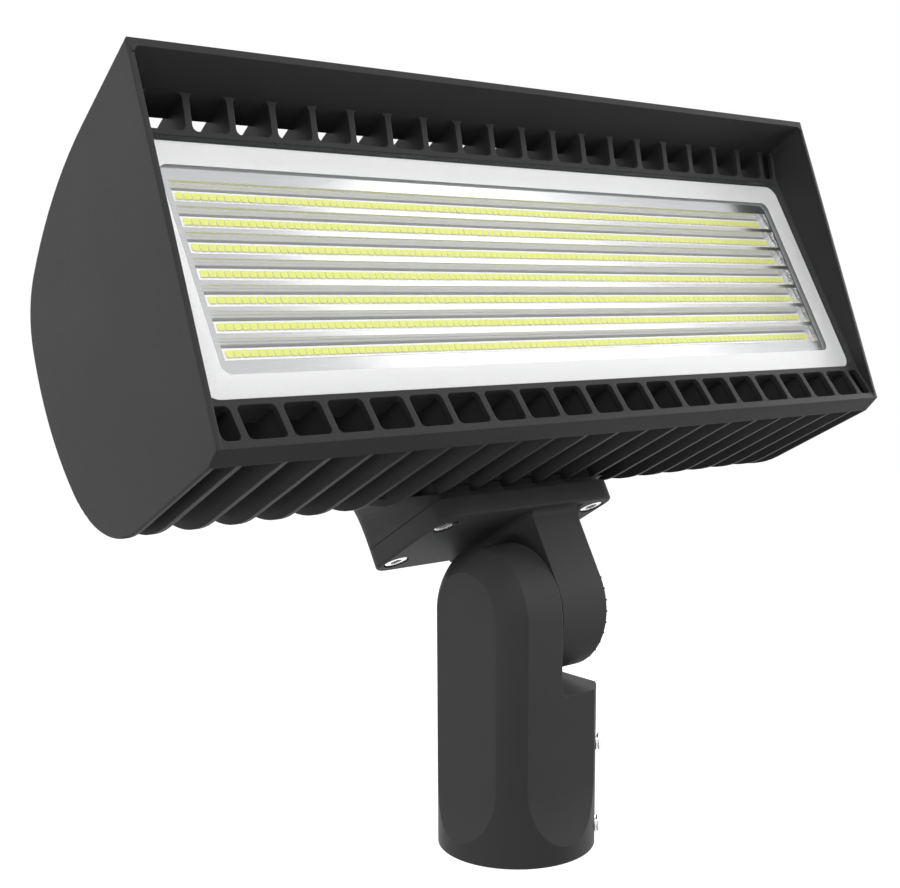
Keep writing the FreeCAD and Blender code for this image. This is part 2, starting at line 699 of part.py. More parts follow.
def knuckle_bracket():
    """The plate under the pedestal, with its leg, ear and angle marks."""
    centre = Vector(0, PLATE_DEPTH, plate_under)
    plate = rounded_slab(PLATE_LENGTH, PLATE_WIDTH, PLATE_CORNER, centre, X_AXIS, Y_AXIS,
                         Z_AXIS * PLATE_THICK)
    lower_edges = [edge for edge in plate.Edges if edge.BoundBox.ZMax < plate_under + PLATE_THICK / 2]
    plate = plate.makeFillet(PLATE_ROUND, lower_edges)
    solid = plate.fuse([bracket_leg()] + bracket_fillets() + angle_ticks())
    return solid.cut(bracket_holes()).removeSplitter()


def bracket_screws():
    """The four socket screws that hold the bracket plate to the pedestal."""
    screws = []
    for place in plate_screw_places():
        head_end = place + Z_AXIS * PLATE_HEAD_SINK
        seat = head_end + Z_AXIS * PLATE_HEAD_HEIGHT
        tip = Vector(place.x, place.y, seam_rise + PLATE_SCREW_BITE - FUSE_LAP)
        screw = rod(PLATE_HEAD_RADIUS, head_end, seat).fuse(rod(PLATE_SCREW_RADIUS, seat, tip))
        socket = hexagon_rod(PLATE_SOCKET, head_end, head_end + Z_AXIS * PLATE_SOCKET_DEPTH)
        screws.append(screw.cut(socket))
    return Part.Compound(screws)


def wire_grommet():
    """The rubber bush at the top of the bracket's wire hole."""
    top = Vector(wire_x, PIVOT_DEPTH + WIRE_OFFSET, plate_top)
    return tube(GROMMET_RADIUS, GROMMET_BORE, top - Z_AXIS * GROMMET_HEIGHT, top)


def pivot_seal():
    """The ring in the slipfitter's ear that seals the knuckle's wireway."""
    centre = pivot_point + X_AXIS * (SEAL_PROUD - SEAL_SECTION)
    return Part.makeTorus(seal_radius, SEAL_SECTION, centre, X_AXIS)


def flat_washer():
    """The plain washer against the bracket's ear."""
    start = pivot_point + X_AXIS * (ear_outer + WASHER_SEAT_GAP)
    return tube(WASHER_RADIUS, BOLT_RADIUS + WASHER_HOLE_GAP, start, start + X_AXIS * WASHER_THICK)


def lock_washer():
    """The split spring washer under the bolt's head."""
    start = pivot_point + X_AXIS * (ear_outer + WASHER_SEAT_GAP + WASHER_THICK)
    end = start + X_AXIS * LOCK_WASHER_THICK
    ring = tube(LOCK_WASHER_RADIUS, BOLT_RADIUS + WASHER_HOLE_GAP, start, end)
    slit = box((start.x, end.x), (-LOCK_WASHER_SLIT / 2, LOCK_WASHER_SLIT / 2),
               (pivot_height, pivot_height + LOCK_WASHER_RADIUS + FUSE_LAP))
    return ring.cut(slit)


def pivot_bolt():
    """The hexagon bolt that clamps the knuckle, threaded into the slipfitter's ear."""
    seat = pivot_point + X_AXIS * (ear_outer + WASHER_SEAT_GAP + WASHER_THICK + LOCK_WASHER_THICK)
    shank = rod(BOLT_RADIUS, pivot_point - X_AXIS * BOLT_GRIP, seat)
    top = seat + X_AXIS * BOLT_HEAD_HEIGHT
    crown = rod(BOLT_ACROSS_FLATS / math.sqrt(3), seat, top)
    crown_edges = [edge for edge in crown.Edges if edge.BoundBox.XMin > seat.x + BOLT_HEAD_HEIGHT / 2]
    head = hexagon_rod(BOLT_ACROSS_FLATS, seat, top).common(
        crown.makeChamfer(BOLT_HEAD_HEIGHT / 5, crown_edges))
    return shank.fuse(head)


def flat_cutter(bearing):
    """What cuts one flat on the column, with a run-out that curves outward near its lower end."""
    outside = column_radius + FLAT_DEPTH
    run_drop = math.sqrt(FLAT_RUN_RADIUS ** 2 - (FLAT_RUN_RADIUS - 2 * FLAT_DEPTH) ** 2)
    half_turn = math.asin(run_drop / FLAT_RUN_RADIUS) / 2
    bend = Vector(knuckle_radius + FLAT_RUN_RADIUS * (1 - math.cos(half_turn)), -column_radius,
                  FLAT_RUN_START - FLAT_RUN_RADIUS * math.sin(half_turn))
    high = pivot_height + column_radius
    top_inner = Vector(knuckle_radius, -column_radius, high)
    run_start = Vector(knuckle_radius, -column_radius, FLAT_RUN_START)
    run_end = Vector(outside, -column_radius, FLAT_RUN_START - run_drop)
    top_outer = Vector(outside, -column_radius, high)
    edges = [Part.LineSegment(top_inner, run_start).toShape(),
             Part.Arc(run_start, bend, run_end).toShape(),
             Part.LineSegment(run_end, top_outer).toShape(),
             Part.LineSegment(top_outer, top_inner).toShape()]
    cutter = Part.Face(Part.Wire(edges)).extrude(Y_AXIS * (2 * column_radius))
    cutter.rotate(Vector(), Z_AXIS, bearing)
    return cutter


def knuckle_notch():
    """What cuts away the column above the ledge on the bracket's side, with a rounded inner corner."""
    far = column_radius + FLAT_DEPTH
    start = -far
    high = pivot_height + column_radius
    bulge = LEDGE_FILLET * (1 - math.sqrt(0.5))
    wall_foot = Vector(0, start, ledge_height + LEDGE_FILLET)
    ledge_start = Vector(LEDGE_FILLET, start, ledge_height)
    bend = Vector(bulge, start, ledge_height + bulge)
    corners = [ledge_start, Vector(far, start, ledge_height), Vector(far, start, high),
               Vector(0, start, high), wall_foot]
    edges = [Part.LineSegment(a, b).toShape() for a, b in zip(corners, corners[1:])]
    edges.append(Part.Arc(wall_foot, bend, ledge_start).toShape())
    return Part.Face(Part.Wire(edges)).extrude(Y_AXIS * (2 * far))


def ear_dome():
    """The slipfitter ear's rounded top: half the column's section turned about the pivot."""
    half_flat = math.sqrt(column_radius ** 2 - knuckle_radius ** 2)
    bend = Vector(-column_radius * math.sqrt(0.5), -column_radius * math.sqrt(0.5), pivot_height)
    corners = [Vector(-half_flat, -knuckle_radius, pivot_height), Vector(0, -knuckle_radius, pivot_height),
               Vector(0, 0, pivot_height), Vector(-knuckle_radius, 0, pivot_height),
               Vector(-knuckle_radius, -half_flat, pivot_height)]
    edges = [Part.LineSegment(a, b).toShape() for a, b in zip(corners, corners[1:])]
    edges.append(Part.Arc(corners[-1], bend, corners[0]).toShape())
    return Part.Face(Part.Wire(edges)).revolve(pivot_point, -X_AXIS, 180)


def set_screw_line(radius, height, distance, length):
    """A rod along a set screw's line, from a distance off the column's axis."""
    start = Vector(distance, 0, height)
    screw_rod = rod(radius, start, start + X_AXIS * length)
    screw_rod.rotate(Vector(), Z_AXIS, SET_SCREW_BEARING)
    return screw_rod


def slipfitter():
    """The column that takes the tenon, with flats, a notch, one ear and holes for its screws."""
    column = rod(column_radius, Vector(), pivot_point)
    column = column.cut([flat_cutter(bearing) for bearing in (-90, 0, 90, 180)])
    solid = column.cut(knuckle_notch()).fuse(ear_dome())
    bore_radius = TENON_BORE / 2
    wireway = rod(WIREWAY_RADIUS, pivot_point - X_AXIS * WIREWAY_DEPTH, pivot_point)
    wire_foot = Vector(-WIREWAY_DEPTH / 2, 0, BORE_DEPTH)
    wire_hole = rod(WIRE_HOLE_RADIUS, wire_foot, Vector(wire_foot.x, 0, pivot_height - BOLT_RADIUS))
    bolt_hole = rod(BOLT_RADIUS + THREAD_GAP, pivot_point - X_AXIS * BOLT_GRIP, pivot_point)
    groove_half = SEAL_SECTION + SEAL_SIDE_GAP
    groove_floor = pivot_point - X_AXIS * (2 * SEAL_SECTION - SEAL_PROUD)
    groove = tube(seal_radius + groove_half, seal_radius - groove_half, groove_floor, pivot_point)
    cuts = [rod(bore_radius, Vector(), Z_AXIS * BORE_DEPTH), wireway, wire_hole, bolt_hole, groove]
    for height in (SET_SCREW_LOW, SET_SCREW_HIGH):
        cuts.append(set_screw_line(SET_SCREW_RADIUS + RUNNING_GAP, height, bore_radius / 2, column_radius))
    return solid.cut(cuts).removeSplitter()


def set_screw(height):
    """One set screw, backed off so that its point is clear of the bore."""
    tip = Vector(TENON_BORE / 2 + SET_SCREW_ROOM, 0, height)
    tail = tip + X_AXIS * SET_SCREW_LENGTH
    screw = rod(SET_SCREW_RADIUS, tip, tail)
    tip_edges = [edge for edge in screw.Edges if edge.BoundBox.XMax < tip.x + SET_SCREW_CUP]
    screw = screw.makeChamfer(SET_SCREW_CUP, tip_edges)
    socket = hexagon_rod(SET_SCREW_SOCKET, tail - X_AXIS * SET_SCREW_SOCKET_DEPTH, tail)
    screw = screw.cut(socket)
    screw.rotate(Vector(), Z_AXIS, SET_SCREW_BEARING)
    return screw


def tilt_head(shape):
    """Takes a shape from the head's frame to the light's frame, at the head's resting tilt."""
    moved = shape.translated(Vector(0, -PIVOT_DEPTH, -pivot_rise))
    moved.rotate(Vector(), X_AXIS, -AIM_TILT)
    return moved.translated(pivot_point)


def head_pieces():
    """All pieces that tilt with the head, by node name, in the head's own frame."""
    pieces = {
        "housing": housing(),
        "lens_border": lens_border(),
        "lens_glass": lens_glass(),
        "lens_gasket": lens_gasket(),
        "reflector": reflector(),
        "driver": driver(),
        "driver_screws": driver_screws(),
        "bracket_gasket": bracket_gasket(),
        "knuckle_bracket": knuckle_bracket(),
        "bracket_screws": bracket_screws(),
        "wire_grommet": wire_grommet(),
    }
    for row, rise in enumerate(row_rises(), start=1):
        pieces[f"led_board_{row}"] = led_board(rise)
    return pieces


def base_pieces():
    """The slipfitter and what stays with it, by node name."""
    return {
        "slipfitter": slipfitter(),
        "pivot_bolt": pivot_bolt(),
        "flat_washer": flat_washer(),
        "lock_washer": lock_washer(),
        "pivot_seal": pivot_seal(),
        "set_screw_upper": set_screw(SET_SCREW_HIGH),
        "set_screw_lower": set_screw(SET_SCREW_LOW),
    }


def main():
    """Builds every piece and writes one STEP file for each node."""
    os.makedirs("parts", exist_ok=True)
    pieces = base_pieces()
    for name, shape in head_pieces().items():
        pieces[name] = tilt_head(shape)
    for name, shape in pieces.items():
        shape.exportStep(f"parts/{name}.step")
        print(name, "solids", len(shape.Solids), "valid", shape.isValid(), "volume", round(shape.Volume, 1))


main()
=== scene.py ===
"""Dresses the LED flood light: its finishes, LED packages, screws, studio and camera.

Every size is in metres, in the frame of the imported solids.
"""
import json
import logging
import math
from collections.abc import Sequence
from dataclasses import dataclass, field
from enum import Enum
from typing import Protocol

import bpy
import numpy as np
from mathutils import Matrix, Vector


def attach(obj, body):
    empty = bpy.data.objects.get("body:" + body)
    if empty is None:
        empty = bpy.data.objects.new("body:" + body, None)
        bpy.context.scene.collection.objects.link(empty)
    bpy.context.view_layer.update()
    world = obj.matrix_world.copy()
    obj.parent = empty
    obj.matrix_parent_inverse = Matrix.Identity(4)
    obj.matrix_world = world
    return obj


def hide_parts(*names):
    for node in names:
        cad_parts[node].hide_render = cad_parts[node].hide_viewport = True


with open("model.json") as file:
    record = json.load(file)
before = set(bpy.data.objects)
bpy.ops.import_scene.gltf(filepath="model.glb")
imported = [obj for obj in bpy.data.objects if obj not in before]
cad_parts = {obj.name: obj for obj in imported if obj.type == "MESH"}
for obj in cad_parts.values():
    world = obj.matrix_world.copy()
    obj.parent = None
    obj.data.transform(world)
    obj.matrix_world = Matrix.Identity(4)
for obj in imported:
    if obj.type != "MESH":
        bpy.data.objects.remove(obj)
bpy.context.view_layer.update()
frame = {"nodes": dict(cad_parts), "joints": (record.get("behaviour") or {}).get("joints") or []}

log = logging.getLogger("flood_light")

Triple = tuple[float, float, float]
Colour = Triple
Place = Triple
Profile = Sequence[tuple[float, float]]

LED_ROWS = 7
WHITE = (1.0, 1.0, 1.0, 1.0)
# A noise keeps mostly between these two values.
NOISE_LOW = 0.3
NOISE_HIGH = 0.7
# How many radians a wave pattern of scale 1 turns through in a metre.
WAVE_RADIANS = 20.0
# A painted edge highlight starts to show, and shows in full, at these cosines between an edge's rounded and
# true directions.
EDGE_HIGHLIGHT_START = 0.995
EDGE_HIGHLIGHT_FULL = 0.85
BEVEL_SAMPLES = 6


class Body(Enum):
    """The moving bodies that new pieces ride on."""

    HEAD = "head"
    UPPER_SET_SCREW = "upper_set_screw"
    LOWER_SET_SCREW = "lower_set_screw"


class Slot(Enum):
    """The record's material slots, by name; each new piece holds one, and takes its finish from the
    materials it is given.
    """

    LED_BOARD = "led_board"
    STAINLESS = "stainless"


class NodeSheet:
    """A material's node tree, with short ways to add and join nodes."""

    def __init__(self, name: str) -> None:
        """Starts a material that holds a principled shader and an output.

        Args:
            name: the material's name.
        """
        self.material = bpy.data.materials.new(name)
        self.material.use_nodes = True
        self.tree = self.material.node_tree
        self.shader = self.tree.nodes["Principled BSDF"]

    def add(self, kind: str, settings: dict[str, object] | None = None,
            inputs: dict[str | int, object] | None = None) -> bpy.types.Node:
        """Adds one node.

        Args:
            kind: the node's type name.
            settings: properties to set on the node.
            inputs: values to set on its input sockets, by socket name or number.

        Returns:
            The new node.
        """
        node = self.tree.nodes.new(kind)
        for name, value in (settings or {}).items():
            setattr(node, name, value)
        for name, value in (inputs or {}).items():
            node.inputs[name].default_value = value
        return node

    def join(self, source: bpy.types.NodeSocket, target: bpy.types.NodeSocket) -> None:
        """Links an output socket to an input socket."""
        self.tree.links.new(source, target)

    def set(self, **values: object) -> None:
        """Sets constants on the shader's own sockets; underscores in a name stand for spaces."""
        for name, value in values.items():
            self.shader.inputs[name.replace("_", " ")].default_value = value

    def drive(self, name: str, source: bpy.types.NodeSocket) -> None:
        """Feeds one of the shader's own sockets from another node."""
        self.join(source, self.shader.inputs[name])

    def noise(self, size: float, detail: float = 2.0,
              stretch: Triple = (1.0, 1.0, 1.0)) -> bpy.types.NodeSocket:
        """Adds a noise pattern on Object coordinates.

        Args:
            size: the size of its grains in metres.
            detail: how many finer layers it has.
            stretch: how many times longer the grains are along X, Y and Z.

        Returns:
            The noise's value socket, from 0 to 1.
        """
        place = self.add("ShaderNodeTexCoord")
        mapping = self.add("ShaderNodeMapping", inputs={
            "Scale": tuple(1.0 / (size * factor) for factor in stretch)})
        noise = self.add("ShaderNodeTexNoise", inputs={"Scale": 1.0, "Detail": detail})
        self.join(place.outputs["Object"], mapping.inputs["Vector"])
        self.join(mapping.outputs["Vector"], noise.inputs["Vector"])
        return noise.outputs["Fac"]

    def spread(self, value: bpy.types.NodeSocket, low: float, high: float,
               start: float = NOISE_LOW, end: float = NOISE_HIGH) -> bpy.types.NodeSocket:
        """Maps a span of a value to another range and holds it there beyond the span.

        Args:
            value: the value's socket.
            low: the result at the span's start.
            high: the result at its end.
            start: the value that the span starts at, which suits a noise unless it is given.
            end: the value that it ends at.

        Returns:
            The mapped value's socket.
        """
        node = self.add("ShaderNodeMapRange", inputs={
            "From Min": start, "From Max": end, "To Min": low, "To Max": high})
        self.join(value, node.inputs["Value"])
        return node.outputs["Result"]

    def ramp(self, value: bpy.types.NodeSocket, low: Colour, high: Colour) -> bpy.types.NodeSocket:
        """Turns a noise into colours from one to another.

        Args:
            value: the noise's value socket.
            low: the colour at its low end.
            high: the colour at its high end.

        Returns:
            The colour's socket.
        """
        node = self.add("ShaderNodeValToRGB")
        node.color_ramp.elements[0].position = NOISE_LOW
        node.color_ramp.elements[1].position = NOISE_HIGH
        node.color_ramp.elements[0].color = (*low, 1.0)
        node.color_ramp.elements[1].color = (*high, 1.0)
        self.join(value, node.inputs["Fac"])
        return node.outputs["Color"]

    def blend(self, share: bpy.types.NodeSocket, under: bpy.types.NodeSocket,
              over: Colour) -> bpy.types.NodeSocket:
        """Lays a colour over another by a share.

        Args:
            share: how much of the upper colour shows, from 0 to 1.
            under: the lower colour's socket.
            over: the upper colour.

        Returns:
            The blended colour's socket.
        """
        mix = self.add("ShaderNodeMix", {"data_type": "RGBA"}, {7: (*over, 1.0)})
        self.join(share, mix.inputs[0])
        self.join(under, mix.inputs[6])
        return mix.outputs[2]

    def soft_normal(self, radius: float) -> bpy.types.NodeSocket:
        """The surface's direction with its sharp edges rounded to a radius."""
        bevel = self.add("ShaderNodeBevel", {"samples": BEVEL_SAMPLES}, {"Radius": radius})
        return bevel.outputs["Normal"]

    def highlight_edge_share(self, soft_normal: bpy.types.NodeSocket) -> bpy.types.NodeSocket:
        """How near a sharp edge is, the mask for a painted edge highlight: 1 where the rounded direction
        leans far from the true one.

        Args:
            soft_normal: the rounded direction's socket.

        Returns:
            The share's socket, from 0 to 1.
        """
        lean = self.add("ShaderNodeVectorMath", {"operation": "DOT_PRODUCT"})
        self.join(soft_normal, lean.inputs[0])
        self.join(self.add("ShaderNodeNewGeometry").outputs["Normal"], lean.inputs[1])
        return self.spread(lean.outputs["Value"], 0.0, 1.0, EDGE_HIGHLIGHT_START, EDGE_HIGHLIGHT_FULL)

    def relief(self, value: bpy.types.NodeSocket, height: float,
               soft_normal: bpy.types.NodeSocket | None = None) -> None:
        """Raises the surface by a pattern.

        Args:
            value: the pattern's value socket.
            height: the relief's height in metres.
            soft_normal: the direction that the relief lies on, if edges are rounded.
        """
        bump = self.add("ShaderNodeBump", inputs={"Strength": 1.0, "Distance": height})
        self.join(value, bump.inputs["Height"])
        if soft_normal is not None:
            self.join(soft_normal, bump.inputs["Normal"])
        self.drive("Normal", bump.outputs["Normal"])


def shade(colour: Colour, factor: float) -> Colour:
    """The colour made lighter or darker by a factor, and no lighter than white."""
    red, green, blue = (min(1.0, part * factor) for part in colour)
    return red, green, blue


def seen_directly(tree: bpy.types.NodeTree) -> bpy.types.NodeSocket:
    """Adds nodes that give 1 to rays from the camera, a reflection or glass, and 0 to light.

    Args:
        tree: the node tree to add to.

    Returns:
        The socket with that value.
    """
    path = tree.nodes.new("ShaderNodeLightPath")
    total = path.outputs["Is Camera Ray"]
    for kind in ("Is Glossy Ray", "Is Transmission Ray"):
        larger = tree.nodes.new("ShaderNodeMath")
        larger.operation = "MAXIMUM"
        tree.links.new(total, larger.inputs[0])
        tree.links.new(path.outputs[kind], larger.inputs[1])
        total = larger.outputs["Value"]
    return total


class Finish(Protocol):
    """Anything that can make a material."""

    def build(self) -> bpy.types.Material:
        """Makes the material."""


@dataclass(frozen=True)
class PowderCoat:
    """A matt powder coat on a casting: fine peel, slight changes of tone, softened edges and a painted
    highlight along them.
    """

    name: str
    colour: Colour
    roughness: float = 0.55
    roughness_change: float = 0.05
    specular: float = 0.06
    peel_size: float = 0.0007
    peel_height: float = 0.000016
    cloud_size: float = 0.06
    cloud_change: float = 0.06
    edge_radius: float = 0.0007
    # How much paler the painted edge highlight makes the colour.
    edge_highlight_lift: float = 1.35

    def build(self) -> bpy.types.Material:
        """Makes the coat's material."""
        sheet = NodeSheet(self.name)
        sheet.set(Specular_IOR_Level=self.specular)
        soft_normal = sheet.soft_normal(self.edge_radius)
        cloud = sheet.ramp(sheet.noise(self.cloud_size), shade(self.colour, 1.0 - self.cloud_change),
                           shade(self.colour, 1.0 + self.cloud_change))
        # Painted highlight: the colour is made paler along sharp edges.
        sheet.drive("Base Color", sheet.blend(sheet.highlight_edge_share(soft_normal), cloud,
                                              shade(self.colour, self.edge_highlight_lift)))
        peel = sheet.noise(self.peel_size)
        sheet.drive("Roughness", sheet.spread(peel, self.roughness - self.roughness_change,
                                              self.roughness + self.roughness_change))
        sheet.relief(peel, self.peel_height, soft_normal)
        return sheet.material


@dataclass(frozen=True)
class FiredPrint:
    """The thin white print on the glass: faintly speckled, and some light comes through it."""

    name: str
    colour: Colour
    roughness: float = 0.4
    specular: float = 0.3
    speckle_size: float = 0.0012
    speckle_detail: float = 3.0
    speckle_height: float = 0.000006
    speckle_change: float = 0.03
    light_share: float = 0.35
    light_reach: float = 0.0015

    def build(self) -> bpy.types.Material:
        """Makes the print's material."""
        sheet = NodeSheet(self.name)
        speckle = sheet.noise(self.speckle_size, self.speckle_detail)
        sheet.drive("Base Color", sheet.ramp(speckle, shade(self.colour, 1.0 - self.speckle_change),
                                             self.colour))
        sheet.set(Roughness=self.roughness, Specular_IOR_Level=self.specular,
                  Subsurface_Weight=self.light_share, Subsurface_Radius=(1.0, 1.0, 1.0),
                  Subsurface_Scale=self.light_reach)
        sheet.relief(speckle, self.speckle_height)
        return sheet.material


@dataclass(frozen=True)
class ClearGlass:
    """Clear flat glass: see-through head on, more of a mirror at a slant."""

    name: str
    tint: Colour
    least_alpha: float = 0.02
    slant_alpha: float = 0.10
    slant_blend: float = 0.25
    roughness: float = 0.03
    ripple_size: float = 0.08
    ripple_height: float = 0.00001
    ripple_change: float = 0.05

    def build(self) -> bpy.types.Material:
        """Makes the glass's material."""
        sheet = NodeSheet(self.name)
        ripple = sheet.noise(self.ripple_size)
        sheet.drive("Base Color", sheet.ramp(ripple, shade(self.tint, 1.0 - self.ripple_change), self.tint))
        sheet.set(Roughness=self.roughness)
        slant = sheet.add("ShaderNodeLayerWeight", inputs={"Blend": self.slant_blend})
        sheet.drive("Alpha", sheet.spread(slant.outputs["Facing"], self.least_alpha, self.slant_alpha,
                                          0.0, 1.0))
        sheet.relief(ripple, self.ripple_height)
        return sheet.material


@dataclass(frozen=True)
class Metal:
    """Bare or plated metal with fine drawn lines along one axis."""

    name: str
    colour: Colour
    roughness: float
    line_size: float = 0.0003
    line_stretch: Triple = (40.0, 1.0, 1.0)
    line_height: float = 0.000003
    edge_radius: float = 0.0003
    colour_change: float = 0.05
    roughness_share: float = 0.15

    def build(self) -> bpy.types.Material:
        """Makes the metal's material."""
        sheet = NodeSheet(self.name)
        sheet.set(Metallic=1.0)
        lines = sheet.noise(self.line_size, stretch=self.line_stretch)
        sheet.drive("Base Color", sheet.ramp(lines, shade(self.colour, 1.0 - self.colour_change),
                                             shade(self.colour, 1.0 + self.colour_change)))
        sheet.drive("Roughness", sheet.spread(lines, self.roughness * (1.0 - self.roughness_share),
                                              self.roughness * (1.0 + self.roughness_share)))
        sheet.relief(lines, self.line_height, sheet.soft_normal(self.edge_radius))
        return sheet.material


@dataclass(frozen=True)
class TroughMirror:
    """A bright reflector whose flat-sided troughs are shaded as if they were hollowed."""

    name: str
    colour: Colour
    roughness: float
    tilt_deg: float
    row_rise: float
    row_pitch: float
    hollow: float = 0.0011
    waves_a_row: int = 2
    least_lean: float = 0.2
    full_lean: float = 0.4
    line_size: float = 0.0004
    line_stretch: Triple = (40.0, 1.0, 1.0)
    colour_change: float = 0.03
    roughness_share: float = 0.1

    def build(self) -> bpy.types.Material:
        """Makes the reflector's material."""
        sheet = NodeSheet(self.name)
        sheet.set(Metallic=1.0)
        lines = sheet.noise(self.line_size, stretch=self.line_stretch)
        sheet.drive("Base Color", sheet.ramp(lines, shade(self.colour, 1.0 - self.colour_change),
                                             shade(self.colour, 1.0 + self.colour_change)))
        sheet.drive("Roughness", sheet.spread(lines, self.roughness * (1.0 - self.roughness_share),
                                              self.roughness * (1.0 + self.roughness_share)))
        sheet.relief(self.hollow_height(sheet), self.hollow)
        return sheet.material

    def hollow_height(self, sheet: NodeSheet) -> bpy.types.NodeSocket:
        """Adds the wave that shades the troughs as hollows.

        The wave runs up the lens with its crests on the LED rows and on the lands halfway between
        them. It counts on the troughs' long sides alone, which lean up or down the lens.

        Args:
            sheet: the material's nodes.

        Returns:
            The wave's socket, from 0 to 1.
        """
        tilt = math.radians(self.tilt_deg)
        place = sheet.add("ShaderNodeMapping", inputs={
            "Rotation": (tilt, 0.0, 0.0), "Location": (0.0, 0.0, -self.row_rise)})
        sheet.join(sheet.add("ShaderNodeTexCoord").outputs["Object"], place.inputs["Vector"])
        wave = sheet.add("ShaderNodeTexWave", {"bands_direction": "Z"}, {
            "Scale": self.waves_a_row * math.tau / (WAVE_RADIANS * self.row_pitch), "Detail": 0.0,
            "Phase Offset": math.pi})
        sheet.join(place.outputs["Vector"], wave.inputs["Vector"])
        lean = sheet.add("ShaderNodeVectorMath", {"operation": "DOT_PRODUCT"}, {
            1: (0.0, math.sin(tilt), math.cos(tilt))})
        sheet.join(sheet.add("ShaderNodeNewGeometry").outputs["Normal"], lean.inputs[0])
        size = sheet.add("ShaderNodeMath", {"operation": "ABSOLUTE"})
        sheet.join(lean.outputs["Value"], size.inputs[0])
        height = sheet.add("ShaderNodeMath", {"operation": "MULTIPLY"})
        sheet.join(wave.outputs["Fac"], height.inputs[0])
        sheet.join(sheet.spread(size.outputs["Value"], 0.0, 1.0, self.least_lean, self.full_lean),
                   height.inputs[1])
        return height.outputs["Value"]


@dataclass(frozen=True)
class Moulded:
    """A moulded surface, such as silicone, resin or solder mask, with a fine grain."""

    name: str
    colour: Colour
    roughness: float
    specular: float = 0.5
    roughness_change: float = 0.04
    grain_size: float = 0.0005
    grain_detail: float = 3.0
    grain_height: float = 0.000008
    colour_change: float = 0.06

    def build(self) -> bpy.types.Material:
        """Makes the surface's material."""
        sheet = NodeSheet(self.name)
        grain = sheet.noise(self.grain_size, self.grain_detail)
        sheet.drive("Base Color", sheet.ramp(grain, shade(self.colour, 1.0 - self.colour_change),
                                             shade(self.colour, 1.0 + self.colour_change)))
        sheet.set(Specular_IOR_Level=self.specular)
        sheet.drive("Roughness", sheet.spread(grain, self.roughness - self.roughness_change,
                                              self.roughness + self.roughness_change))
        sheet.relief(grain, self.grain_height)
        return sheet.material


@dataclass(frozen=True)
class PaleFloor:
    """A pale floor: grey to the lamps' light, and seen as white with the object's faint shadow."""

    name: str = "pale_floor"
    colour: Colour = (0.36, 0.36, 0.36)
    roughness: float = 0.9
    cloud_size: float = 0.3
    cloud_change: float = 0.01
    near_glow: float = 0.74
    far_glow: float = 1.0
    near: float = 0.5
    far: float = 1.5

    def build(self) -> bpy.types.Material:
        """Makes the floor's material: a glow that grows with the distance from the object."""
        sheet = NodeSheet(self.name)
        sheet.drive("Base Color", sheet.ramp(sheet.noise(self.cloud_size),
                                             shade(self.colour, 1.0 - self.cloud_change), self.colour))
        sheet.set(Roughness=self.roughness, Specular_IOR_Level=0.0)
        distance = sheet.add("ShaderNodeVectorMath", {"operation": "LENGTH"})
        sheet.join(sheet.add("ShaderNodeTexCoord").outputs["Object"], distance.inputs[0])
        glow = sheet.add("ShaderNodeEmission", inputs={"Color": WHITE})
        strength = sheet.spread(distance.outputs["Value"], self.near_glow, self.far_glow,
                                self.near, self.far)
        sheet.join(strength, glow.inputs["Strength"])
        lit = sheet.add("ShaderNodeAddShader")
        sheet.join(sheet.shader.outputs["BSDF"], lit.inputs[0])
        sheet.join(glow.outputs["Emission"], lit.inputs[1])
        mix = sheet.add("ShaderNodeMixShader")
        sheet.join(seen_directly(sheet.tree), mix.inputs["Fac"])
        sheet.join(sheet.shader.outputs["BSDF"], mix.inputs[1])
        sheet.join(lit.outputs["Shader"], mix.inputs[2])
        sheet.join(mix.outputs["Shader"], sheet.tree.nodes["Material Output"].inputs["Surface"])
        return sheet.material


class Look(Enum):
    """The light's finishes."""

    COAT = PowderCoat("dark_powder_coat", (0.040, 0.040, 0.041))
    BORDER = FiredPrint("white_fired_print", (0.94, 0.94, 0.94))
    GLASS = ClearGlass("clear_glass", (0.40, 0.44, 0.43))
    BOARD = Moulded("white_solder_mask", (0.86, 0.86, 0.86), roughness=0.4, colour_change=0.03)
    PHOSPHOR = Moulded("yellow_phosphor", (0.80, 0.84, 0.23), roughness=0.5, specular=0.15,
                       grain_size=0.0003)
    PACKAGE = Moulded("white_package", (0.86, 0.87, 0.62), roughness=0.4, colour_change=0.02)
    SILICONE = Moulded("black_silicone", (0.015, 0.015, 0.016), roughness=0.75, specular=0.3)
    DRIVER = Metal("driver_case", (0.55, 0.56, 0.58), roughness=0.42, line_stretch=(1.0, 1.0, 30.0))
    ZINC = Metal("zinc_plated_steel", (0.46, 0.46, 0.45), roughness=0.52)
    STAINLESS = Metal("stainless_steel", (0.76, 0.76, 0.75), roughness=0.26,
                      line_stretch=(1.0, 1.0, 1.0), edge_radius=0.0002)


@dataclass
class Palette:
    """The finishes' materials, each made when it is first asked for."""

    made: dict[Look, bpy.types.Material] = field(default_factory=dict)

    def material(self, look: Look) -> bpy.types.Material:
        """The finish's material."""
        if look not in self.made:
            self.made[look] = look.value.build()
        return self.made[look]


def node_points(node: str) -> np.ndarray:
    """The corner points of a CAD node's mesh, one row each."""
    mesh = frame["nodes"][node].data
    points = np.zeros(len(mesh.vertices) * 3, np.float32)
    mesh.vertices.foreach_get("co", points)
    return points.reshape(-1, 3).astype(float)


def dress(node: str, material: bpy.types.Material) -> None:
    """Gives a CAD node its material."""
    mesh = frame["nodes"][node].data
    mesh.materials.clear()
    mesh.materials.append(material)
    log.info("node %s: %s", node, material.name)


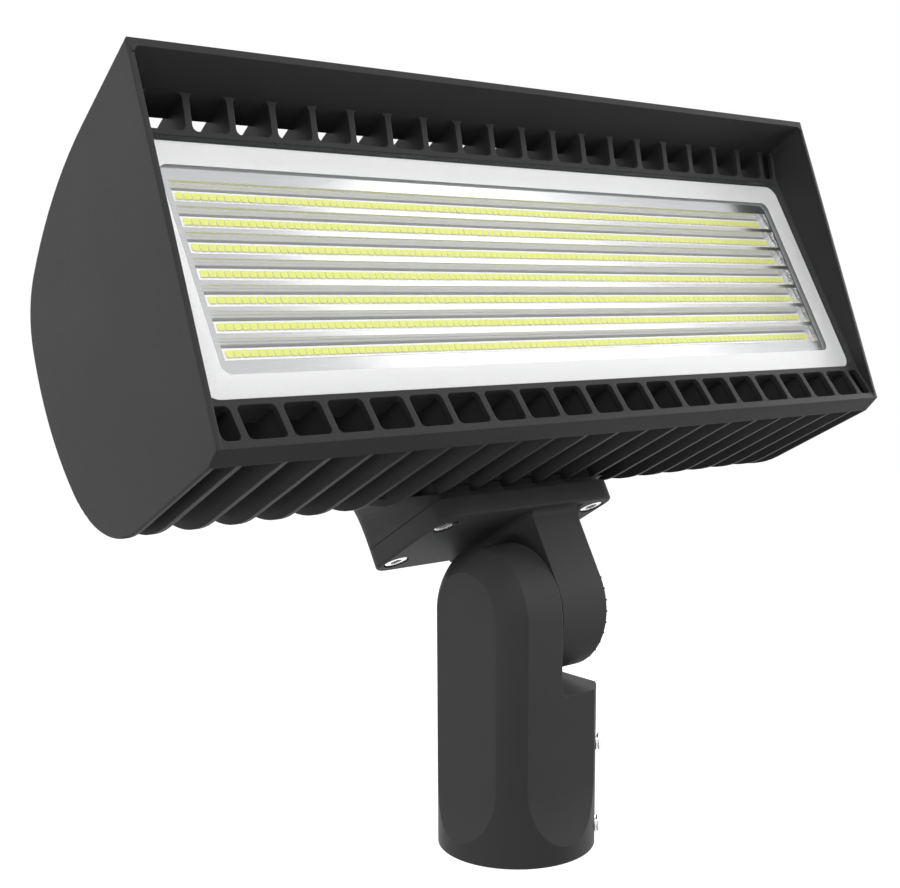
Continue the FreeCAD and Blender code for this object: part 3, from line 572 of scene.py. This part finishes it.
def ring_faces(rings: int, around: int) -> np.ndarray:
    """Quads between rings of points, each ring closed on itself.

    Ring r's point p is number r * around + p, and each quad joins two neighbours on one ring to the
    same two on the next.

    Args:
        rings: how many rings.
        around: how many points on each.

    Returns:
        The quads, one row of four point numbers each.
    """
    ring, point = np.meshgrid(np.arange(rings - 1), np.arange(around), indexing="ij")
    following = (point + 1) % around
    corners = [ring * around + point, ring * around + following,
               (ring + 1) * around + following, (ring + 1) * around + point]
    return np.stack(corners, axis=-1).reshape(-1, 4)


def turn_angles(around: int) -> np.ndarray:
    """Evenly spaced angles over one full turn."""
    return np.arange(around) * (2 * math.pi / around)


def hex_radius(across_flats: float, around: int) -> np.ndarray:
    """A hexagon's radius at evenly spaced angles.

    The radius is half the width across flats over the cosine of the angle from the nearest flat's middle.

    Args:
        across_flats: the hexagon's width across flats.
        around: how many angles.

    Returns:
        The radius at each angle.
    """
    from_flat = (turn_angles(around) + math.pi / 6) % (math.pi / 3) - math.pi / 6
    return across_flats / 2 / np.cos(from_flat)


@dataclass
class Piece:
    """A new mesh that rides on a body, holds the name of one of the record's slots, and takes the materials
    it is given.
    """

    name: str
    body: Body
    slot: Slot
    points: np.ndarray
    faces: list[list[int]]
    materials: list[bpy.types.Material]
    face_materials: np.ndarray | None = None
    sharp_deg: float = 30.0

    def put(self) -> bpy.types.Object:
        """Puts the piece into the scene.

        Returns:
            The new object.
        """
        mesh = bpy.data.meshes.new(self.name)
        mesh.from_pydata(self.points.reshape(-1, 3).tolist(), [], self.faces)
        for material in self.materials:
            mesh.materials.append(material)
        if self.face_materials is not None:
            mesh.polygons.foreach_set("material_index", self.face_materials.astype(np.int32))
        mesh.polygons.foreach_set("use_smooth", np.full(len(self.faces), True))
        mesh.update()
        mesh.set_sharp_from_angle(angle=math.radians(self.sharp_deg))
        piece = bpy.data.objects.new(self.name, mesh)
        bpy.context.scene.collection.objects.link(piece)
        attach(piece, self.body.value)
        log.info("piece %s: %d faces on %s", self.name, len(self.faces), self.body.value)
        return piece


@dataclass(frozen=True)
class Axis:
    """A straight axis that heights run along and angles turn about."""

    origin: np.ndarray
    along: np.ndarray

    def heights(self, points: np.ndarray) -> np.ndarray:
        """How far along the axis each point lies."""
        return (points - self.origin) @ self.along

    def radii(self, points: np.ndarray) -> np.ndarray:
        """How far from the axis each point lies."""
        offsets = points - self.origin
        return np.linalg.norm(offsets - np.outer(offsets @ self.along, self.along), axis=1)

    def turned(self, radius: np.ndarray, height: np.ndarray) -> tuple[np.ndarray, list[list[int]]]:
        """A closed shape turned about the axis.

        Row r of the two grids is one ring of points, evenly spaced by angle: each point is the origin,
        plus its height along the axis, plus its radius at its angle across the axis. Quads join the
        rings, and a flat face closes the first ring and the last one.

        Args:
            radius: each point's radius, one row a ring.
            height: each point's height, one row a ring.

        Returns:
            The points and the faces.
        """
        rings, around = radius.shape
        angle = turn_angles(around)
        first = np.cross(self.along, np.eye(3)[np.argmin(np.abs(self.along))])
        first /= np.linalg.norm(first)
        second = np.cross(self.along, first)
        across = np.cos(angle)[:, None] * first + np.sin(angle)[:, None] * second
        points = self.origin + height[..., None] * self.along + radius[..., None] * across
        ring = np.arange(around)
        ends = [ring[::-1].tolist(), (ring + (rings - 1) * around).tolist()]
        return points, ring_faces(rings, around).tolist() + ends


@dataclass(frozen=True)
class HeadFrame:
    """The tilted head's own axes: X along it, depth behind the lens and rise up the lens."""

    depth: np.ndarray
    rise: np.ndarray

    @classmethod
    def from_glass(cls) -> "HeadFrame":
        """Reads the axes off the glass: its largest face looks out along minus depth."""
        mesh = frame["nodes"]["lens_glass"].data
        normals = np.zeros(len(mesh.polygons) * 3, np.float32)
        areas = np.zeros(len(mesh.polygons), np.float32)
        mesh.polygons.foreach_get("normal", normals)
        mesh.polygons.foreach_get("area", areas)
        outward = normals.reshape(-1, 3)[np.argmax(areas)].astype(float)
        depth = outward if outward[1] > 0 else -outward
        return cls(depth, np.cross((1.0, 0.0, 0.0), depth))

    def basis(self) -> np.ndarray:
        """The three axes as rows."""
        return np.array([(1.0, 0.0, 0.0), self.depth, self.rise])

    def local(self, points: np.ndarray) -> np.ndarray:
        """Points as (x, depth, rise)."""
        return points @ self.basis().T

    def world(self, points: np.ndarray) -> np.ndarray:
        """Points given as (x, depth, rise), in the shared frame."""
        return points @ self.basis()

    def extent(self, node: str) -> tuple[np.ndarray, np.ndarray]:
        """A CAD node's least and greatest x, depth and rise."""
        points = self.local(node_points(node))
        return points.min(axis=0), points.max(axis=0)


@dataclass(frozen=True)
class SubAssembly:
    """Some CAD nodes with their finishes, and the pieces that are added to them."""

    looks: dict[str, Look]

    def build(self, palette: Palette, head: HeadFrame) -> None:
        """Dresses the nodes, then adds the new pieces.

        Args:
            palette: the finishes' materials.
            head: the head's axes.
        """
        for node, look in self.looks.items():
            dress(node, palette.material(look))
        self.add_pieces(palette, head)

    def add_pieces(self, palette: Palette, head: HeadFrame) -> None:
        """Adds nothing, unless a sub-assembly has pieces of its own."""


@dataclass(frozen=True)
class HeadCasting(SubAssembly):
    """The finned housing."""

    looks: dict[str, Look] = field(default_factory=lambda: {"housing": Look.COAT})


@dataclass(frozen=True)
class LensPack(SubAssembly):
    """The glass, the white print on it and the gasket behind it."""

    looks: dict[str, Look] = field(default_factory=lambda: {
        "lens_glass": Look.GLASS, "lens_border": Look.BORDER, "lens_gasket": Look.SILICONE})


@dataclass(frozen=True)
class LightEngine(SubAssembly):
    """The reflector, the LED boards with their packages, and the driver."""

    looks: dict[str, Look] = field(default_factory=lambda: {
        "driver": Look.DRIVER, "driver_screws": Look.ZINC,
        **{f"led_board_{number}": Look.BOARD for number in range(1, LED_ROWS + 1)}})
    mirror_colour: Colour = (0.60, 0.60, 0.61)
    mirror_roughness: float = 0.16
    sides: tuple[float, float] = (0.00372, 0.0034)
    height: float = 0.0008
    pitch: float = 0.003925
    end_margin: float = 0.0002
    corner_power: float = 7.0
    points_round: int = 12
    rim: Profile = ((1.0, 0.0), (1.0, 0.85), (0.97, 1.0), (0.95, 0.97))

    def add_pieces(self, palette: Palette, head: HeadFrame) -> None:
        """Dresses the reflector by where the LED rows lie, and adds every row of packages.

        Args:
            palette: the finishes' materials.
            head: the head's axes.
        """
        rises = [sum(head.extent(f"led_board_{number}"))[2] / 2 for number in range(1, LED_ROWS + 1)]
        row_pitch = (max(rises) - min(rises)) / (LED_ROWS - 1)
        tilt_deg = math.degrees(math.atan2(head.rise[1], head.rise[2]))
        dress("reflector", TroughMirror("bright_reflector", self.mirror_colour, self.mirror_roughness,
                                        tilt_deg, rises[0], row_pitch).build())
        for number in range(1, LED_ROWS + 1):
            self.add_row(number, palette, head)

    def outline(self) -> np.ndarray:
        """A rounded square of half side 1: radius 1 / (|cos a|^p + |sin a|^p)^(1/p) at angle a."""
        half_step = math.pi / self.points_round
        angle = turn_angles(self.points_round) + half_step
        cosine, sine = np.cos(angle), np.sin(angle)
        power = self.corner_power
        radius = (np.abs(cosine) ** power + np.abs(sine) ** power) ** (-1 / power)
        return np.stack([radius * cosine, radius * sine], axis=-1)

    def centres(self, low: float, high: float) -> np.ndarray:
        """Evenly spaced package centres along X, centred between a board's two ends."""
        room = high - low - 2 * self.end_margin - self.sides[0]
        count = int(room / self.pitch) + 1
        return (low + high) / 2 + (np.arange(count) - (count - 1) / 2) * self.pitch

    def add_row(self, number: int, palette: Palette, head: HeadFrame) -> None:
        """Adds one row of packages as one piece.

        Each package is the outline carried up the rim's profile of (share of half side, share of
        height), then closed by a flat phosphor face and a flat foot.

        Args:
            number: the row's number, as on its board.
            palette: the finishes' materials.
            head: the head's axes.
        """
        low, high = head.extent(f"led_board_{number}")
        centres = self.centres(low[0], high[0])
        rim = np.array(self.rim)
        outline = self.outline() * (np.array(self.sides) / 2)
        points = np.empty((len(centres), len(rim), self.points_round, 3))
        points[..., 0] = centres[:, None, None] + (rim[:, :1] * outline[:, 0])[None]
        points[..., 1] = low[1] - (rim[:, 1] * self.height)[None, :, None]
        points[..., 2] = (low[2] + high[2]) / 2 + (rim[:, :1] * outline[:, 1])[None]
        starts = (np.arange(len(centres)) * len(rim) * self.points_round)[:, None, None]
        sides = (ring_faces(len(rim), self.points_round)[None] + starts).reshape(-1, 4)
        ring = np.arange(self.points_round)
        tops = ring + (len(rim) - 1) * self.points_round + starts[:, 0]
        feet = ring[::-1] + starts[:, 0]
        face_materials = np.concatenate([np.zeros(len(sides)), np.ones(len(tops)), np.zeros(len(feet))])
        Piece(f"led_packages_{number}", Body.HEAD, Slot.LED_BOARD, head.world(points),
              sides.tolist() + tops.tolist() + feet.tolist(),
              [palette.material(Look.PACKAGE), palette.material(Look.PHOSPHOR)], face_materials).put()


@dataclass(frozen=True)
class KnuckleBracket(SubAssembly):
    """The bracket under the head, with its gasket, grommet and four socket-head screws."""

    looks: dict[str, Look] = field(default_factory=lambda: {
        "knuckle_bracket": Look.COAT, "bracket_gasket": Look.SILICONE, "wire_grommet": Look.SILICONE,
        "bracket_screws": Look.STAINLESS})
    shank_radius: float = 0.004
    head_height: float = 0.005
    socket_across: float = 0.006
    socket_depth: float = 0.003
    tip_chamfer: float = 0.0006
    edge: Profile = ((0.0, 0.0009), (0.00008, 0.0005), (0.0003, 0.00018), (0.0007, 0.0))
    points_round: int = 36

    def add_pieces(self, palette: Palette, head: HeadFrame) -> None:
        """Adds the four screws as one piece that stands for the CAD ones.

        The CAD screws are told apart by which side of their common middle they lie on, along X and
        along the depth.

        Args:
            palette: the finishes' materials.
            head: the head's axes.
        """
        points = head.local(node_points("bracket_screws"))
        sides = points[:, :2] > (points[:, :2].min(axis=0) + points[:, :2].max(axis=0)) / 2
        all_points, all_faces = [], []
        for side in ((False, False), (True, False), (False, True), (True, True)):
            own = points[(sides == side).all(axis=1)]
            shape, faces = self.screw(own.min(axis=0), own.max(axis=0))
            start = sum(len(block) for block in all_points)
            all_points.append(shape.reshape(-1, 3))
            all_faces += [[start + corner for corner in face] for face in faces]
        screws = Piece("socket_screws", Body.HEAD, Slot.STAINLESS, head.world(np.concatenate(all_points)),
                       all_faces, [palette.material(Look.STAINLESS)]).put()
        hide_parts("bracket_screws")

    def screw(self, low: np.ndarray, high: np.ndarray) -> tuple[np.ndarray, list[list[int]]]:
        """One socket-head screw, turned from its tip down to the socket's floor.

        Its outline is a chamfered shank, the head's underside, the head's side, a rounded edge and the
        flat face; then the six-sided socket goes back in.

        Args:
            low: the CAD screw's least x, depth and rise.
            high: its greatest x, depth and rise.

        Returns:
            The points as (x, depth, rise), and the faces.
        """
        head_radius = (high[0] - low[0]) / 2
        length = high[2] - low[2]
        axis = Axis(np.array([(low[0] + high[0]) / 2, (low[1] + high[1]) / 2, high[2]]),
                    np.array([0.0, 0.0, -1.0]))
        under = length - self.head_height
        outline = [(self.shank_radius - self.tip_chamfer, 0.0), (self.shank_radius, self.tip_chamfer),
                   (self.shank_radius, under), (head_radius, under)]
        outline += [(head_radius - inward, length - below) for inward, below in self.edge]
        radius, height = (np.repeat(part[:, None], self.points_round, axis=1)
                          for part in np.array(outline).T)
        socket = np.tile(hex_radius(self.socket_across, self.points_round), (2, 1))
        levels = np.repeat([[length], [length - self.socket_depth]], self.points_round, axis=1)
        return axis.turned(np.concatenate([radius, socket]), np.concatenate([height, levels]))


@dataclass(frozen=True)
class SetScrew:
    """One threaded set screw with a cup point and a six-sided socket."""

    node: str
    body: Body
    joint: str
    pitch: float = 0.0015875
    thread_depth: float = 0.0008
    lead_in: float = 0.0011
    cup_depth: float = 0.0012
    cup_radius: float = 0.0004
    socket_across: float = 0.0048
    socket_depth: float = 0.0055
    steps_a_turn: int = 8
    points_round: int = 36

    def build(self, palette: Palette) -> None:
        """Builds the screw in place of its CAD node.

        At height h and angle a the thread's radius is the crest's radius less the thread's depth times
        a triangle wave of h / pitch - a / full turn. Nearer an end than the lead-in it is held under a
        45 degree cone. A cup goes into the inner end and a hexagon into the outer one.

        Args:
            palette: the finishes' materials.
        """
        feed = next(joint for joint in frame["joints"] if joint["name"] == self.joint)
        points = node_points(self.node)
        axis = Axis((points.min(axis=0) + points.max(axis=0)) / 2, -np.array(feed["axis"], float))
        heights, crest = axis.heights(points), axis.radii(points).max()
        low, high = heights.min(), heights.max()
        steps = math.ceil((high - low) / self.pitch * self.steps_a_turn)
        level = np.linspace(low, high, steps + 1)[:, None]
        turns = (level - low) / self.pitch - turn_angles(self.points_round) / (2 * math.pi)
        thread = crest - self.thread_depth * np.abs(2 * (turns % 1.0) - 1.0)
        from_end = np.minimum(level - low, high - level)
        thread = np.minimum(thread, crest - self.lead_in + from_end)
        cup = np.full((1, self.points_round), self.cup_radius)
        socket = np.tile(hex_radius(self.socket_across, self.points_round), (2, 1))
        radius = np.concatenate([cup, thread, socket])
        levels = np.concatenate([[low + self.cup_depth], level[:, 0], [high, high - self.socket_depth]])
        shape, faces = axis.turned(radius, np.repeat(levels[:, None], self.points_round, axis=1))
        screw = Piece(f"threaded_{self.node}", self.body, Slot.STAINLESS, shape, faces,
                      [palette.material(Look.STAINLESS)]).put()
        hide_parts(self.node)


@dataclass(frozen=True)
class Slipfitter(SubAssembly):
    """The column, the pivot's bolt, washers and seal, and the two set screws."""

    looks: dict[str, Look] = field(default_factory=lambda: {
        "slipfitter": Look.COAT, "pivot_bolt": Look.ZINC, "flat_washer": Look.ZINC,
        "lock_washer": Look.ZINC, "pivot_seal": Look.SILICONE,
        "set_screw_upper": Look.STAINLESS, "set_screw_lower": Look.STAINLESS})
    screws: tuple[SetScrew, ...] = (
        SetScrew("set_screw_upper", Body.UPPER_SET_SCREW, "upper_set_screw_feed"),
        SetScrew("set_screw_lower", Body.LOWER_SET_SCREW, "lower_set_screw_feed"))

    def add_pieces(self, palette: Palette, head: HeadFrame) -> None:
        """Adds the threaded set screws."""
        for screw in self.screws:
            screw.build(palette)


@dataclass(frozen=True)
class SoftBox:
    """A rectangular soft box that faces a point."""

    name: str
    place: Place
    size: tuple[float, float]
    power: float
    aim: Place = (0.0, 0.0, 0.25)

    def build(self) -> None:
        """Builds the box as an area lamp."""
        lamp = bpy.data.lights.new(self.name, "AREA")
        lamp.shape = "RECTANGLE"
        lamp.size, lamp.size_y = self.size
        lamp.energy = self.power
        box = bpy.data.objects.new(self.name, lamp)
        box.location = self.place
        box.rotation_euler = (Vector(self.aim) - Vector(self.place)).to_track_quat("-Z", "Y").to_euler()
        bpy.context.scene.collection.objects.link(box)
        log.info("lamp %s: %.1f W", self.name, self.power)


@dataclass(frozen=True)
class Studio:
    """The floor, the surrounding light and the soft boxes."""

    floor_level: float = -0.30
    floor_half: float = 6.0
    ambient: float = 0.02
    boxes: tuple[SoftBox, ...] = (
        SoftBox("left_back_box", (-1.58, 1.19, 0.55), (1.0, 1.0), 19.0),
        SoftBox("top_front_box", (-0.4, -1.37, 1.66), (1.0, 1.0), 30.0),
        SoftBox("right_box", (1.93, -0.39, 0.64), (1.0, 0.8), 36.0),
        SoftBox("low_left_box", (-1.94, -0.2, -0.2), (1.2, 0.15), 8.0),
        SoftBox("low_right_box", (1.87, -0.59, -0.14), (1.0, 0.15), 6.0),
        SoftBox("under_box", (0.0, 0.35, -0.28), (1.0, 0.6), 1.5),
        SoftBox("camera_box", (-1.33, -1.49, 0.45), (1.0, 0.6), 3.5),
        SoftBox("back_box", (0.9, 1.5, 1.2), (1.0, 1.0), 14.0),
        SoftBox("lens_box", (1.08, -0.70, 1.15), (0.36, 1.0), 1.8))

    def build(self) -> None:
        """Builds the floor, the world and the soft boxes."""
        self.build_floor()
        self.build_world()
        for box in self.boxes:
            box.build()

    def build_floor(self) -> None:
        """Builds the floor as one large flat face."""
        signs = np.array([(-1, -1), (1, -1), (1, 1), (-1, 1)], float)
        points = np.column_stack([signs * self.floor_half, np.full(4, self.floor_level)])
        mesh = bpy.data.meshes.new("studio_floor")
        mesh.from_pydata(points.tolist(), [], [[0, 1, 2, 3]])
        mesh.materials.append(PaleFloor().build())
        floor = bpy.data.objects.new("studio_floor", mesh)
        bpy.context.scene.collection.objects.link(floor)
        log.info("stage %s", floor.name)

    def build_world(self) -> None:
        """Builds a plain world: even light, seen as white."""
        world = bpy.data.worlds.new("studio_world")
        world.use_nodes = True
        tree = world.node_tree
        light = tree.nodes["Background"]
        light.inputs["Color"].default_value = WHITE
        light.inputs["Strength"].default_value = self.ambient
        white = tree.nodes.new("ShaderNodeBackground")
        white.inputs["Color"].default_value = WHITE
        white.inputs["Strength"].default_value = 1.0
        mix = tree.nodes.new("ShaderNodeMixShader")
        tree.links.new(seen_directly(tree), mix.inputs["Fac"])
        tree.links.new(light.outputs["Background"], mix.inputs[1])
        tree.links.new(white.outputs["Background"], mix.inputs[2])
        tree.links.new(mix.outputs["Shader"], tree.nodes["World Output"].inputs["Surface"])
        bpy.context.scene.world = world


@dataclass(frozen=True)
class PhotoCamera:
    """The camera at the photograph's viewing angle."""

    place: Place = (-0.4888, -0.5477, 0.2955)
    yaw_deg: float = 40.45
    pitch_deg: float = -9.68
    focal_px: float = 1401.0
    axis_px: tuple[float, float] = (486.0, 534.0)
    image_px: tuple[int, int] = (900, 888)
    sensor_mm: float = 36.0
    nearest: float = 0.01
    farthest: float = 50.0

    def build(self) -> None:
        """Builds the camera and makes it the scene's own."""
        width, height = self.image_px
        lens = bpy.data.cameras.new("photo_camera")
        lens.sensor_fit = "HORIZONTAL"
        lens.sensor_width = self.sensor_mm
        lens.lens = self.focal_px / width * self.sensor_mm
        lens.shift_x = (width / 2 - self.axis_px[0]) / width
        lens.shift_y = (self.axis_px[1] - height / 2) / width
        lens.clip_start = self.nearest
        lens.clip_end = self.farthest
        camera = bpy.data.objects.new("photo_camera", lens)
        camera.location = self.place
        camera.rotation_euler = (math.radians(90.0 + self.pitch_deg), 0.0, -math.radians(self.yaw_deg))
        bpy.context.scene.collection.objects.link(camera)
        bpy.context.scene.camera = camera
        log.info("camera at %.2f %.2f %.2f", *self.place)


def main() -> None:
    """Builds the light's sub-assemblies in order, then the studio and the camera."""
    logging.basicConfig(level=logging.INFO, format="%(message)s")
    bpy.context.scene.view_settings.view_transform = "Standard"
    palette = Palette()
    head = HeadFrame.from_glass()
    for assembly in (HeadCasting(), LensPack(), LightEngine(), KnuckleBracket(), Slipfitter()):
        assembly.build(palette, head)
    Studio().build()
    PhotoCamera().build()


if __name__ == "__main__":
    main()
